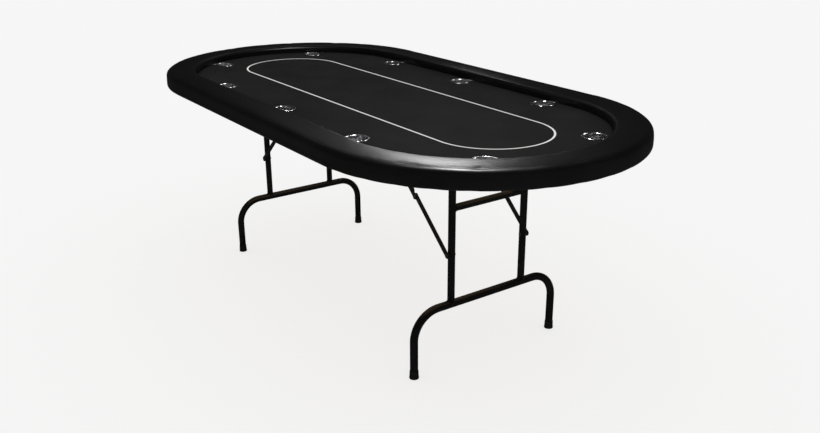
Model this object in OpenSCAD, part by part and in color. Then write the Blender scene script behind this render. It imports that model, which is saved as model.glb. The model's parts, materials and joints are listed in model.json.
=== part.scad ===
// Poker table with a padded rail and two folding leg frames.
// Millimetres, +Z up, origin on the floor under the middle of the table.
// +X runs along the table towards the right-hand leg frame, +Y to the rear.

/* [Overall] */
// Overall length of the table, over the rail
table_l = 2134; // [1830:1:2600]
// Overall width of the table, over the rail
table_w = 1067; // [900:1:1300]
// Height of the top of the rail above the floor
table_h = 768; // [640:1:920]

/* [Padded rail] */
// Width of the rail, seen from above
rail_w = 114; // [90:1:140]
// Height of the rail from its underside to its top
rail_h = 59; // [52:1:80]
// How far the rail stands above the playing cloth
rail_rise = 28; // [20:1:34]
// Radius of the rail's outer top shoulder
rail_outer_r = 27; // [20:1:32]
// Radius of the rail's inner top shoulder
rail_inner_r = 23; // [16:1:32]
// Radius at which the rail rolls under at its outer foot
rail_foot_r = 13; // [8:1:18]
// Thickness of the vinyl cover
cover_t = 1.5; // [1:0.1:3]
// Width of the cover's hem, stapled under the base board
cover_hem = 42; // [30:1:60]
// Padding between the vinyl and the wooden ring, at the rail's sides
side_pad_t = 12; // [8:0.5:18]
// Thickness of the wooden ring inside the rail
ring_t = 18; // [12:0.5:24]

/* [Playing surface] */
// Thickness of the playing cloth
cloth_t = 1; // [0.6:0.1:2]
// Thickness of the foam under the cloth
surface_foam_t = 5; // [3:0.5:8]
// Thickness of the board under the foam
surface_board_t = 8; // [6:0.5:12]
// Thickness of the base board that carries everything
base_board_t = 15; // [12:0.5:21]

/* [Cup holders] */
// Outer diameter of a cup holder's rim
cup_rim_d = 80; // [72:0.5:100]
// Outer diameter of a cup holder's body
cup_body_d = 70; // [60:0.5:82]
// Depth of a cup holder below the cloth
cup_depth = 58; // [45:1:70]
// Sheet thickness of a cup holder
cup_wall = 0.9; // [0.6:0.1:1.5]
// Diameter of the rolled bead round the rim
cup_bead_d = 3; // [2:0.1:4]
// Distance from the rail's inner wall to a cup holder's centre
cup_inset = 52; // [44:1:70]
// Distance between cup holders along each side
cup_pitch = 450; // [360:1:520]
// Angle of the end cup holders off the table's long axis
cup_end_angle = 34; // [20:1:45]

/* [Leg frames] */
// Distance from the table's centre to each leg pivot
leg_x = 620; // [560:1:700]
// Distance between the centres of the two posts
post_pitch = 287; // [240:1:330]
// Outer diameter of the posts
post_d = 23; // [18:0.5:25]
// Outer diameter of the crossbar between the posts
crossbar_d = 22.5; // [16:0.5:22.5]
// Outer diameter of the foot tube
foot_tube_d = 25.4; // [23.4:0.5:30.4]
// Outer diameter of the pivot tube
pivot_tube_d = 25.4; // [23.4:0.5:28.4]
// Wall thickness of all the tubes
tube_wall = 1.5; // [1:0.1:2.5]
// Distance between the centres of the two feet
foot_pitch = 568; // [500:1:640]
// Height of the foot tube's straight run above the floor
foot_tube_z = 214; // [170:1:260]
// Bend radius of the foot tube
foot_bend_r = 90; // [60:1:110]
// Distance of the crossbar below the leg pivot
crossbar_drop = 162; // [120:1:200]
// Distance of the leg pivot below the base board
pivot_drop = 20; // [18:0.5:28]

/* [Feet] */
// Diameter of a rubber foot cap at the floor
cap_base_d = 30.5; // [28:0.5:38]
// Diameter of a rubber foot cap at its top edge
cap_top_d = 28.5; // [27:0.5:34]
// Height of a rubber foot cap
cap_h = 27; // [20:1:40]
// Thickness of rubber under the tube
cap_floor_t = 6; // [3:0.5:10]

/* [Folding braces] */
// Distance from the leg pivot down to the brace's lower pivot
brace_drop = 311; // [270:1:360]
// Distance from the leg pivot in to the brace's upper pivot
brace_reach = 340; // [315:1:420]
// Width of the upper link
upper_link_w = 15.5; // [12:0.5:18]
// Width of the lower link
lower_link_w = 18; // [14:0.5:19]
// Thickness of both links
link_t = 3; // [2:0.5:4]
// Diameter of the widened ends of both links
link_eye_d = 20; // [19:0.5:24]
// Length of the stop tab on the upper link
stop_tab_l = 36; // [24:1:40]
// How far the stop tab stands out from the upper link
stop_tab_out = 7; // [4:0.5:8]

/* [Fasteners] */
// Shank diameter of the brace rivets
rivet_d = 6; // [5:0.5:8]
// Head diameter of the brace rivets
rivet_head_d = 11; // [9:0.5:12]
// Head height of the brace rivets
rivet_head_h = 1.5; // [1:0.1:2]
// Shank diameter of the wood screws
screw_d = 4; // [3:0.5:5]
// Head diameter of the wood screws
screw_head_d = 8; // [6:0.5:10]
// Head height of the wood screws
screw_head_h = 2.4; // [1.5:0.1:3]
// Shank diameter of the bolts that hold the rail down
rail_bolt_d = 6; // [5:0.5:8]

/* [Clearances] */
// Radial clearance of a running fit
run_gap = 0.05; // [0.02:0.01:0.1]
// Gap between flat faces that slide past each other
slide_gap = 0.2; // [0.1:0.05:0.5]
// Gap between the brace links and what they pass
pass_gap = 1; // [0.6:0.1:2]
// Gap between the playing surface and the rail
edge_gap = 0.3; // [0.1:0.1:1]

/* [Hidden] */
$fn = 96;
RAIL_FACETS = 180;
sheet_t = 2.5;
// How far a cut runs past the face that it opens
cut = 1;
SIDES = [-1, 1];

// Heights of the layers, worked down from the top of the rail
cloth_z = table_h - rail_rise;
foam_z = cloth_z - cloth_t;
board_z = foam_z - surface_foam_t;
base_top_z = board_z - surface_board_t;
base_z = base_top_z - base_board_t;
// The rail is always deep enough to wrap the edge of the base board
rail_z = min(table_h - rail_h, base_z - cover_t);
pivot_z = base_z - pivot_drop;

// Plan of the top: half length, half width and the centres of the round ends
half_l = table_l / 2;
half_w = table_w / 2;
end_x = half_l - half_w;
inner_half_l = half_l - rail_w;
inner_half_w = half_w - rail_w;
wood_inset = cover_t + side_pad_t;

// Cup holders, numbered round the table from the rear of the right-hand end,
// each with the direction in which it faces the rail
cup_hole_gap = 0.5;
cup_hole_r = cup_body_d / 2 + cup_hole_gap;
cup_corner_r = 5;
cup_path_r = inner_half_w - cup_inset;
cup_end_dx = cup_path_r * cos(cup_end_angle);
cup_end_dy = cup_path_r * sin(cup_end_angle);
CUPS = concat(
    [[end_x + cup_end_dx, cup_end_dy, cup_end_angle]],
    [for (i = [1, 0, -1]) [i * cup_pitch, cup_path_r, 90]],
    [for (s = [1, -1]) [-end_x - cup_end_dx, s * cup_end_dy, 180 - s * cup_end_angle]],
    [for (i = [-1, 0, 1]) [i * cup_pitch, -cup_path_r, -90]],
    [[end_x + cup_end_dx, -cup_end_dy, -cup_end_angle]]
);

// The base board and the foam on top are a middle panel and a ring of edge
// panels that meet at the cup holders, each of which hangs in a square window
panel_gap = 0.2;
middle_panel_r = cup_path_r - cup_hole_r;
window_half = cup_hole_r + panel_gap;
window_in = cup_hole_r + panel_gap + middle_panel_r
    - sqrt(middle_panel_r * middle_panel_r - window_half * window_half);
window_cut_l = cup_inset + rail_w;

// The rail's padding comes in lengths, butted together round each end
padding_step = 22.5;

// Rail bolts: two rows along the straight sides and a fan round each end
rail_bolt_shift = 4;
rail_bolt_path_r = half_w - rail_w / 2 - rail_bolt_shift;
rail_bolt_xs = [-0.75, -0.25, 0.25, 0.75] * end_x;
rail_bolt_angles = [-60, -20, 20, 60];
rail_bolt_grip = 12;
rail_bolt_head_af = 10;
rail_bolt_head_h = 4;
RAIL_BOLTS = concat(
    [for (s = SIDES, x = rail_bolt_xs) [x, s * rail_bolt_path_r]],
    [for (s = SIDES, a = rail_bolt_angles)
        [s * (end_x + rail_bolt_path_r * cos(a)), rail_bolt_path_r * sin(a)]]
);

// Leg frames
post_y = post_pitch / 2;
foot_y = foot_pitch / 2;
crossbar_z = pivot_z - crossbar_drop;
bracket_post_gap = 6;
bracket_y = post_y + post_d / 2 + bracket_post_gap;
bracket_w = 30;
bracket_l = 92;
bracket_ear_wall = 6;
bracket_ear_r = min(pivot_tube_d / 2 + bracket_ear_wall, pivot_drop - slide_gap);
bracket_screw_dx = 36;
bracket_screw_dy = 8;
end_cap_t = 3;
end_cap_lip = 2;
end_cap_plug = 8;
pivot_tube_stickout = 3;
pivot_half_l = bracket_y + bracket_w + pivot_tube_stickout;
screw_l = 12;

// Folding braces. The two links lie in line when the leg is down and side by
// side, flat under the base board, when it is up.
brace_span = sqrt(brace_drop * brace_drop + brace_reach * brace_reach);
brace_angle = atan(brace_drop / brace_reach);
upper_link_l = (brace_span + brace_reach - brace_drop) / 2;
lower_link_l = brace_span - upper_link_l;
lower_pivot_z = pivot_z - brace_drop;
upper_pivot_x = leg_x - brace_reach;
elbow_x = upper_pivot_x + upper_link_l * cos(brace_angle);
elbow_z = pivot_z - upper_link_l * sin(brace_angle);
washer_t = 1.5;
lower_link_y = post_y + post_d / 2 + rivet_head_h + pass_gap + washer_t;
upper_link_y = lower_link_y + link_t + rivet_head_h + pass_gap;
ear_y = upper_link_y + link_t + slide_gap;
tab_back = 9;
foot_plate_l = 46;
foot_plate_w = 30;
foot_plate_screw_dx = 14;
foot_plate_screw_y = foot_plate_w * 2 / 3;
ear_r = 10;

// ---------- plan shapes ----------

// A long shape with two round ends, as seen from above
module oval(half_length, half_width) {
    square([2 * (half_length - half_width), 2 * half_width], center = true);
    for (s = SIDES)
        translate([s * (half_length - half_width), 0]) circle(half_width);
}

// The square openings in which the cup holders hang
module cup_windows() {
    for (p = CUPS) translate([p[0], p[1]]) rotate(p[2] - 90)
        translate([-cup_hole_r, -window_in]) square([2 * cup_hole_r, window_in + cup_hole_r]);
}

// A flat panel inside the line of the cup holders
module middle_panel(z, thickness) {
    translate([0, 0, z]) linear_extrude(thickness) difference() {
        oval(end_x + middle_panel_r, middle_panel_r);
        cup_windows();
    }
}

// The panels round it: one between each two cup holders, one outside each
module edge_panels(z, thickness, half_width) {
    translate([0, 0, z]) linear_extrude(thickness) difference() {
        oval(end_x + half_width, half_width);
        oval(end_x + middle_panel_r + panel_gap, middle_panel_r + panel_gap);
        cup_windows();
        for (p = CUPS, s = SIDES) translate([p[0], p[1]]) rotate(p[2] - 90)
            translate([s * (cup_hole_r + panel_gap / 2) - panel_gap / 2, -window_in])
                square([panel_gap, window_in + window_cut_l]);
    }
}

// A flat layer of the playing surface, inside the rail
module surface_layer(z, thickness) {
    difference() {
        translate([0, 0, z]) linear_extrude(thickness)
            oval(inner_half_l - edge_gap, inner_half_w - edge_gap);
        cup_holes();
    }
}

module cup_holes() {
    for (p = CUPS)
        translate([p[0], p[1], base_z - cut])
            cylinder(r = cup_hole_r, h = base_board_t + rail_h);
}

module rail_bolt_holes() {
    for (p = RAIL_BOLTS)
        translate([p[0], p[1], base_z - cut])
            cylinder(d = rail_bolt_d, h = cut + base_board_t + rail_bolt_grip);
}

// Carries a cross-section round the table. The section's x runs inwards from
// the outer edge of the rail and its y is the height.
module round_the_table() {
    for (s = SIDES) {
        mirror([s < 0 ? 1 : 0, 0, 0]) translate([end_x, 0, 0]) rotate([0, 0, -90])
            rotate_extrude(angle = 180, $fn = RAIL_FACETS)
                translate([half_w, 0]) mirror([1, 0]) children();
        mirror([0, s < 0 ? 1 : 0, 0]) translate([-end_x, 0, 0]) rotate([90, 0, 90])
            linear_extrude(2 * end_x)
                translate([half_w, 0]) mirror([1, 0]) children();
    }
}

// ---------- top ----------

module base_board() {
    color("burlywood") difference() {
        middle_panel(base_z, base_board_t);
        pivot_bracket_screw_places() cylinder(d = screw_d, h = screw_l);
        brace_bracket_screw_places() cylinder(d = screw_d, h = screw_l);
    }
}

module base_edge_boards() {
    color("burlywood") difference() {
        edge_panels(base_z, base_board_t, half_w - wood_inset);
        rail_bolt_holes();
    }
}

module playfield_board() {
    color("tan") surface_layer(base_top_z, surface_board_t);
}

module playfield_foam() {
    color("gainsboro") middle_panel(board_z, surface_foam_t);
}

module playfield_foam_strips() {
    color("gainsboro") edge_panels(board_z, surface_foam_t, inner_half_w - edge_gap);
}

module playfield_cloth() {
    color([0.12, 0.12, 0.12]) surface_layer(foam_z, cloth_t);
}

// The rail's rounded outline, drawn in by a distance
module rail_profile(inset) {
    x0 = inset;
    x1 = rail_w - inset;
    z0 = rail_z + inset;
    z1 = table_h - inset;
    ro = rail_outer_r - inset;
    ri = rail_inner_r - inset;
    rf = rail_foot_r - inset;
    translate([x0 + ro, z1 - ro]) circle(ro);
    translate([x1 - ri, z1 - ri]) circle(ri);
    translate([x0 + rf, z0 + rf]) circle(rf);
    translate([x0 + ro, z0]) square([x1 - ri - x0 - ro, z1 - z0]);
    translate([x0, z0 + rf]) square([ro, z1 - ro - z0 - rf]);
    translate([x0 + rf, z0]) square([ro, rf + cut]);
    translate([x1 - ri, z0]) square([ri, z1 - ri - z0]);
}

module rail_ring() {
    color("burlywood") difference() {
        round_the_table()
            translate([wood_inset, base_top_z]) square([rail_w - 2 * wood_inset, ring_t]);
        rail_bolt_holes();
    }
}

module rail_foam() {
    color("lightgray") difference() {
        round_the_table() difference() {
            rail_profile(cover_t);
            translate([wood_inset, rail_z]) square([rail_w, base_top_z - rail_z]);
            translate([wood_inset, base_top_z - cut])
                square([rail_w - 2 * wood_inset, ring_t + cut]);
            translate([0, rail_z]) square([rail_w, base_z - rail_z]);
        }
        for (s = SIDES) at_end(s) for (a = [-90:padding_step:90])
            translate([end_x, 0, rail_z]) rotate(a) translate([0, -panel_gap / 2, 0])
                cube([half_w + cut, panel_gap, rail_h + cut]);
    }
}

module rail_cover() {
    color([0.08, 0.08, 0.08]) round_the_table() difference() {
        rail_profile(0);
        intersection() {
            rail_profile(cover_t);
            translate([0, base_z]) square([rail_w, rail_h]);
        }
        translate([cover_hem, rail_z - cut]) square([rail_w, base_top_z - rail_z + cut]);
    }
}

module rail_bolts() {
    color("dimgray") for (p = RAIL_BOLTS) translate([p[0], p[1], base_z]) {
        cylinder(d = rail_bolt_d, h = base_board_t + rail_bolt_grip);
        translate([0, 0, -rail_bolt_head_h])
            cylinder(d = rail_bolt_head_af / cos(30), h = rail_bolt_head_h, $fn = 6);
    }
}

module cup_holder(n) {
    body_r = cup_body_d / 2;
    bead_r = cup_bead_d / 2;
    bead_x = cup_rim_d / 2 - bead_r;
    floor_z = -cup_depth;
    color("silver") translate([CUPS[n][0], CUPS[n][1], cloth_z]) {
        rotate_extrude() {
            translate([bead_x, bead_r]) circle(bead_r);
            translate([body_r - cup_wall, 2 * bead_r - cup_wall])
                square([bead_x - body_r + cup_wall, cup_wall]);
            translate([body_r - cup_wall, floor_z + cup_corner_r])
                square([cup_wall, cup_depth - cup_corner_r + 2 * bead_r]);
            translate([body_r - cup_corner_r, floor_z + cup_corner_r]) intersection() {
                difference() {
                    circle(cup_corner_r);
                    circle(cup_corner_r - cup_wall);
                }
                translate([0, -cup_corner_r]) square(cup_corner_r);
            }
            translate([0, floor_z]) square([body_r - cup_corner_r, cup_wall]);
        }
    }
}

// ---------- leg frames, drawn for the right-hand end ----------

// Turns a right-hand piece into the one at the given end and side
module at_end(end) {
    mirror([end < 0 ? 1 : 0, 0, 0]) children();
}

module at_side(side) {
    mirror([0, side < 0 ? 1 : 0, 0]) children();
}

// A round bar along Y, centred on the table's long axis
module y_bar(d, length, x, z) {
    translate([x, length / 2, z]) rotate([90, 0, 0]) cylinder(d = d, h = length);
}

// A disc whose faces look along Y, from y upwards
module y_disc(d, y, thickness, x, z) {
    translate([x, y + thickness, z]) rotate([90, 0, 0])
        cylinder(d = d, h = thickness);
}

module pivot_tube() {
    color([0.1, 0.1, 0.1]) difference() {
        y_bar(pivot_tube_d, 2 * pivot_half_l, leg_x, pivot_z);
        y_bar(pivot_tube_d - 2 * tube_wall, 2 * (pivot_half_l + cut), leg_x, pivot_z);
    }
}

module post() {
    color([0.1, 0.1, 0.1]) difference() {
        translate([leg_x, post_y, foot_tube_z]) cylinder(d = post_d, h = pivot_z - foot_tube_z);
        translate([leg_x, post_y, foot_tube_z])
            cylinder(d = post_d - 2 * tube_wall, h = pivot_z - foot_tube_z);
        y_bar(pivot_tube_d, 2 * pivot_half_l, leg_x, pivot_z);
        y_bar(foot_tube_d, 2 * foot_y, leg_x, foot_tube_z);
        y_disc(rivet_d, post_y - post_d, 2 * post_d, leg_x, lower_pivot_z);
    }
}

module crossbar() {
    color([0.1, 0.1, 0.1]) difference() {
        y_bar(crossbar_d, post_pitch, leg_x, crossbar_z);
        y_bar(crossbar_d - 2 * tube_wall, post_pitch + 2 * cut, leg_x, crossbar_z);
        for (s = SIDES)
            translate([leg_x, s * post_y, crossbar_z - post_d])
                cylinder(d = post_d, h = 2 * post_d);
    }
}

// The foot tube's bent bar: a straight run, two quarter bends and two legs
module foot_bar(d, leg_bottom_z) {
    run = foot_pitch - 2 * foot_bend_r;
    y_bar(d, run, leg_x, foot_tube_z);
    for (s = SIDES) at_side(s) {
        translate([leg_x, run / 2, foot_tube_z - foot_bend_r]) rotate([90, 0, 90])
            rotate_extrude(angle = 90) translate([foot_bend_r, 0]) circle(d = d);
        translate([leg_x, foot_y, leg_bottom_z])
            cylinder(d = d, h = foot_tube_z - foot_bend_r - leg_bottom_z);
    }
}

module foot_tube() {
    color([0.1, 0.1, 0.1]) difference() {
        foot_bar(foot_tube_d, cap_floor_t);
        foot_bar(foot_tube_d - 2 * tube_wall, cap_floor_t - cut);
    }
}

module foot_caps() {
    color([0.05, 0.05, 0.05]) for (s = SIDES) translate([leg_x, s * foot_y, 0]) difference() {
        cylinder(d1 = cap_base_d, d2 = cap_top_d, h = cap_h);
        translate([0, 0, cap_floor_t]) cylinder(d = foot_tube_d, h = cap_h);
    }
}

module pivot_end_caps() {
    color([0.05, 0.05, 0.05]) for (s = SIDES) at_side(s) {
        y_disc(pivot_tube_d + 2 * end_cap_lip, pivot_half_l, end_cap_t, leg_x, pivot_z);
        y_disc(pivot_tube_d - 2 * tube_wall, pivot_half_l - end_cap_plug, end_cap_plug,
            leg_x, pivot_z);
    }
}

module leg_brace_rivets() {
    inner_y = post_y - post_d / 2;
    outer_y = lower_link_y + link_t + slide_gap / 2;
    color("gray") for (s = SIDES) at_side(s) {
        y_disc(rivet_d, inner_y, outer_y - inner_y, leg_x, lower_pivot_z);
        y_disc(rivet_head_d, inner_y - rivet_head_h, rivet_head_h, leg_x, lower_pivot_z);
        y_disc(rivet_head_d, outer_y, rivet_head_h, leg_x, lower_pivot_z);
        y_disc(rivet_head_d, post_y + post_d / 2, lower_link_y - slide_gap / 2 - post_y - post_d / 2,
            leg_x, lower_pivot_z);
    }
}

// ---------- brackets under the base board ----------

module pivot_bracket() {
    color("dimgray") difference() {
        union() {
            translate([leg_x - bracket_l / 2, bracket_y, base_z - sheet_t])
                cube([bracket_l, bracket_w, sheet_t]);
            for (y = [bracket_y, bracket_y + bracket_w - sheet_t]) {
                y_disc(2 * bracket_ear_r, y, sheet_t, leg_x, pivot_z);
                translate([leg_x - bracket_ear_r, y, pivot_z])
                    cube([2 * bracket_ear_r, sheet_t, pivot_drop - sheet_t / 2]);
            }
        }
        y_disc(pivot_tube_d + 2 * run_gap, bracket_y - cut, bracket_w + 2 * cut, leg_x, pivot_z);
        one_pivot_bracket_screws() cylinder(d = screw_d, h = 2 * sheet_t, center = true);
    }
}

module one_pivot_bracket_screws() {
    for (i = SIDES, j = SIDES)
        translate([leg_x + i * bracket_screw_dx,
            bracket_y + bracket_w / 2 + j * bracket_screw_dy, base_z])
            children();
}

module pivot_bracket_screw_places() {
    for (e = SIDES, s = SIDES) at_end(e) at_side(s) one_pivot_bracket_screws() children();
}

module brace_bracket() {
    color("dimgray") difference() {
        union() {
            translate([upper_pivot_x - foot_plate_l / 2, ear_y, base_z - sheet_t])
                cube([foot_plate_l, foot_plate_w, sheet_t]);
            y_disc(2 * ear_r, ear_y, sheet_t, upper_pivot_x, pivot_z);
            translate([upper_pivot_x - ear_r, ear_y, pivot_z])
                cube([2 * ear_r, sheet_t, pivot_drop - sheet_t / 2]);
        }
        y_disc(rivet_d, ear_y - cut, sheet_t + 2 * cut, upper_pivot_x, pivot_z);
        one_brace_bracket_screws() cylinder(d = screw_d, h = 2 * sheet_t, center = true);
    }
}

module one_brace_bracket_screws() {
    for (i = SIDES)
        translate([upper_pivot_x + i * foot_plate_screw_dx,
            ear_y + foot_plate_screw_y, base_z - sheet_t / 2])
            children();
}

module brace_bracket_screw_places() {
    for (e = SIDES, s = SIDES) at_end(e) at_side(s) one_brace_bracket_screws() children();
}

// A pan-head wood screw driven up through a bracket's sheet
module wood_screw(below) {
    cylinder(d = screw_d, h = screw_l - cut);
    translate([0, 0, -below]) cylinder(d = screw_d, h = below);
    translate([0, 0, -below - screw_head_h]) cylinder(d = screw_head_d, h = screw_head_h);
}

module pivot_bracket_screws() {
    color("gray") pivot_bracket_screw_places() wood_screw(sheet_t);
}

module brace_bracket_screws() {
    color("gray") brace_bracket_screw_places() wood_screw(sheet_t / 2);
}

module brace_bracket_rivets() {
    inner_y = upper_link_y - slide_gap / 2;
    outer_y = ear_y + sheet_t;
    color("gray") for (e = SIDES, s = SIDES) at_end(e) at_side(s) {
        y_disc(rivet_d, inner_y, outer_y - inner_y, upper_pivot_x, pivot_z);
        y_disc(rivet_head_d, inner_y - rivet_head_h, rivet_head_h, upper_pivot_x, pivot_z);
        y_disc(rivet_head_d, outer_y, rivet_head_h, upper_pivot_x, pivot_z);
    }
}

// ---------- brace links ----------

// A flat bar with a round eye at each end. It is drawn along +X from its first
// pivot, in the XZ plane, with its inner face at the given y.
module link_bar(length, width, y) {
    translate([0, y, -width / 2]) cube([length, link_t, width]);
    for (x = [0, length]) y_disc(link_eye_d, y, link_t, x, 0);
}

module upper_link() {
    tab_end = upper_link_l - tab_back;
    tab_r = upper_link_w / 2 + stop_tab_out;
    color([0.12, 0.12, 0.12]) translate([upper_pivot_x, 0, pivot_z]) rotate([0, brace_angle, 0])
        difference() {
            union() {
                link_bar(upper_link_l, upper_link_w, upper_link_y);
                intersection() {
                    translate([tab_end - stop_tab_l, upper_link_y, 0])
                        cube([stop_tab_l, link_t, tab_r]);
                    for (x = [tab_end - stop_tab_l + tab_r, tab_end - tab_r])
                        y_disc(2 * tab_r, upper_link_y, link_t, x, 0);
                }
            }
            for (x = [0, upper_link_l])
                y_disc(rivet_d + 2 * run_gap, upper_link_y - cut, link_t + 2 * cut, x, 0);
        }
}

module lower_link() {
    color([0.12, 0.12, 0.12]) translate([leg_x, 0, lower_pivot_z])
        rotate([0, 180 + brace_angle, 0]) difference() {
            link_bar(lower_link_l, lower_link_w, lower_link_y);
            for (x = [0, lower_link_l])
                y_disc(rivet_d + 2 * run_gap, lower_link_y - cut, link_t + 2 * cut, x, 0);
        }
}

// The elbow rivet stays with the upper link; the lower link's eye is open
module elbow_rivet() {
    inner_y = upper_link_y;
    outer_y = upper_link_y + link_t;
    color("gray") {
        y_disc(rivet_d, inner_y, link_t, elbow_x, elbow_z);
        y_disc(rivet_head_d, inner_y - rivet_head_h, rivet_head_h, elbow_x, elbow_z);
        y_disc(rivet_head_d, outer_y, rivet_head_h, elbow_x, elbow_z);
    }
}

// ---------- nodes ----------

base_board();
base_edge_boards();
playfield_board();
playfield_foam();
playfield_foam_strips();
playfield_cloth();
rail_ring();
rail_foam();
rail_cover();
rail_bolts();
cup_holder(0);  // cup_holder_01
cup_holder(1);  // cup_holder_02
cup_holder(2);  // cup_holder_03
cup_holder(3);  // cup_holder_04
cup_holder(4);  // cup_holder_05
cup_holder(5);  // cup_holder_06
cup_holder(6);  // cup_holder_07
cup_holder(7);  // cup_holder_08
cup_holder(8);  // cup_holder_09
cup_holder(9);  // cup_holder_10
at_side(-1) pivot_bracket();  // pivot_bracket_right_front
pivot_bracket();  // pivot_bracket_right_rear
at_end(-1) at_side(-1) pivot_bracket();  // pivot_bracket_left_front
at_end(-1) pivot_bracket();  // pivot_bracket_left_rear
pivot_bracket_screws();
at_side(-1) brace_bracket();  // brace_bracket_right_front
brace_bracket();  // brace_bracket_right_rear
at_end(-1) at_side(-1) brace_bracket();  // brace_bracket_left_front
at_end(-1) brace_bracket();  // brace_bracket_left_rear
brace_bracket_screws();
brace_bracket_rivets();
pivot_tube();  // right_pivot_tube
at_side(-1) post();  // right_post_front
post();  // right_post_rear
crossbar();  // right_crossbar
foot_tube();  // right_foot_tube
foot_caps();  // right_foot_caps
pivot_end_caps();  // right_pivot_end_caps
leg_brace_rivets();  // right_brace_rivets
at_end(-1) pivot_tube();  // left_pivot_tube
at_end(-1) at_side(-1) post();  // left_post_front
at_end(-1) post();  // left_post_rear
at_end(-1) crossbar();  // left_crossbar
at_end(-1) foot_tube();  // left_foot_tube
at_end(-1) foot_caps();  // left_foot_caps
at_end(-1) pivot_end_caps();  // left_pivot_end_caps
at_end(-1) leg_brace_rivets();  // left_brace_rivets
at_side(-1) upper_link();  // upper_link_right_front
upper_link();  // upper_link_right_rear
at_end(-1) at_side(-1) upper_link();  // upper_link_left_front
at_end(-1) upper_link();  // upper_link_left_rear
at_side(-1) lower_link();  // lower_link_right_front
lower_link();  // lower_link_right_rear
at_end(-1) at_side(-1) lower_link();  // lower_link_left_front
at_end(-1) lower_link();  // lower_link_left_rear
at_side(-1) elbow_rivet();  // elbow_rivet_right_front
elbow_rivet();  // elbow_rivet_right_rear
at_end(-1) at_side(-1) elbow_rivet();  // elbow_rivet_left_front
at_end(-1) elbow_rivet();  // elbow_rivet_left_rear
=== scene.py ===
import json
import math

import bmesh
import bpy
import numpy as np
from mathutils import Matrix, Vector

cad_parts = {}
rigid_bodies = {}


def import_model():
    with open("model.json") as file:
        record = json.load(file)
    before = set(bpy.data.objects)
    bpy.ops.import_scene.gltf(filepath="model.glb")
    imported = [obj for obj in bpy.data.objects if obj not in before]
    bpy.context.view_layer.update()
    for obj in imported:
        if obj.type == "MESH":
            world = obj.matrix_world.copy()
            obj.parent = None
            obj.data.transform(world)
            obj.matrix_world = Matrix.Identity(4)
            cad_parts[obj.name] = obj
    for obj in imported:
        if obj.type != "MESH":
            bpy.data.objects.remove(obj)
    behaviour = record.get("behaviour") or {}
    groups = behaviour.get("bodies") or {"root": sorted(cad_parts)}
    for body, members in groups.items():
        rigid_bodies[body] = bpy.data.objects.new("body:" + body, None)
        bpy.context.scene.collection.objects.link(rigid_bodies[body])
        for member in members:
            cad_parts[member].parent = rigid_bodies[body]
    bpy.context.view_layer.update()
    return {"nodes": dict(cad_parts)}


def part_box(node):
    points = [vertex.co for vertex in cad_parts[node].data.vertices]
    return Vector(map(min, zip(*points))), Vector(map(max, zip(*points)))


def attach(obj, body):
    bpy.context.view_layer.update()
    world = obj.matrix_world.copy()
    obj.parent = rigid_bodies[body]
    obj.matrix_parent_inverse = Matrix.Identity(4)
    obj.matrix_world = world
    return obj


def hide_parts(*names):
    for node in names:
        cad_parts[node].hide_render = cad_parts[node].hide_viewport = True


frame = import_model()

ENDS = ("right", "left")
SIDES = {"front": -1, "rear": 1}
MM = 0.001
TAU = 2 * math.pi


# ---------- sizes taken from the frame ----------

def span(node):
    """A node's lowest and highest corners, as arrays."""
    lo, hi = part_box(node)
    return np.array(lo), np.array(hi)


def middle_of(node):
    """The middle of a node's box."""
    lo, hi = span(node)
    return (lo + hi) / 2


rail_lo, rail_hi = span("rail_cover")
ring_hi = span("rail_ring")[1]
board_lo, board_hi = span("base_board")
cloth_hi = span("playfield_cloth")[1]
HALF_L, HALF_W = rail_hi[0], rail_hi[1]
END_X = HALF_L - HALF_W
CLOTH_Z = cloth_hi[2]
CLOTH_R = cloth_hi[1]
EDGE_GAP = 0.3 * MM
RAIL_W = HALF_W - CLOTH_R - EDGE_GAP
WOOD_INSET = HALF_W - ring_hi[1]
CUPS = [middle_of("cup_holder_%02d" % i) for i in range(1, 11)]
CUP_HOLE_R = 36.5 * MM
LINE_HALF_RUN, LINE_R, LINE_HALF_W = 620 * MM, 187.1 * MM, 3.4 * MM


# ---------- mesh making ----------

def grid_faces(nu, nv, close_u, close_v):
    """Quads of an nu by nv grid of points, joined round where a direction is closed."""
    u = np.arange(nu if close_u else nu - 1)[:, None]
    v = np.arange(nv if close_v else nv - 1)[None, :]
    un, vn = (u + 1) % nu, (v + 1) % nv
    a, b, c, d = u * nv + v, un * nv + v, un * nv + vn, u * nv + vn
    return np.stack(np.broadcast_arrays(a, b, c, d), -1).reshape(-1, 4)


def signed_volume(points, quads):
    """Sum of the tetrahedra from the middle to each half of each quad, which is positive if the
    faces look outwards."""
    p = points - points.mean(0)
    a, b, c, d = (p[quads[:, i]] for i in range(4))
    return (np.cross(a, b) * c).sum() + (np.cross(a, c) * d).sum()


def mesh_object(name, points, faces, smooth=True):
    """A new object at the origin with these points and faces, doubles merged and faces outward."""
    mesh = bpy.data.meshes.new(name)
    mesh.from_pydata(points.tolist(), [], faces.tolist())
    made = bmesh.new()
    made.from_mesh(mesh)
    bmesh.ops.remove_doubles(made, verts=made.verts, dist=1e-6)
    bmesh.ops.dissolve_degenerate(made, edges=made.edges, dist=1e-7)
    made.to_mesh(mesh)
    made.free()
    mesh.update()
    mesh.polygons.foreach_set("use_smooth", [smooth] * len(mesh.polygons))
    obj = bpy.data.objects.new(name, mesh)
    bpy.context.collection.objects.link(obj)
    return obj


def grid_object(name, grids, close_u=True, close_v=False):
    """One object from grids of points, each turned so that its faces look outwards."""
    points, faces, start = [], [], 0
    for grid in grids:
        nu, nv = grid.shape[:2]
        flat, quads = grid.reshape(-1, 3), grid_faces(nu, nv, close_u, close_v)
        if signed_volume(flat, quads) < 0:
            quads = quads[:, ::-1]
        points.append(flat)
        faces.append(quads + start)
        start += len(flat)
    return mesh_object(name, np.concatenate(points), np.concatenate(faces))


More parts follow.
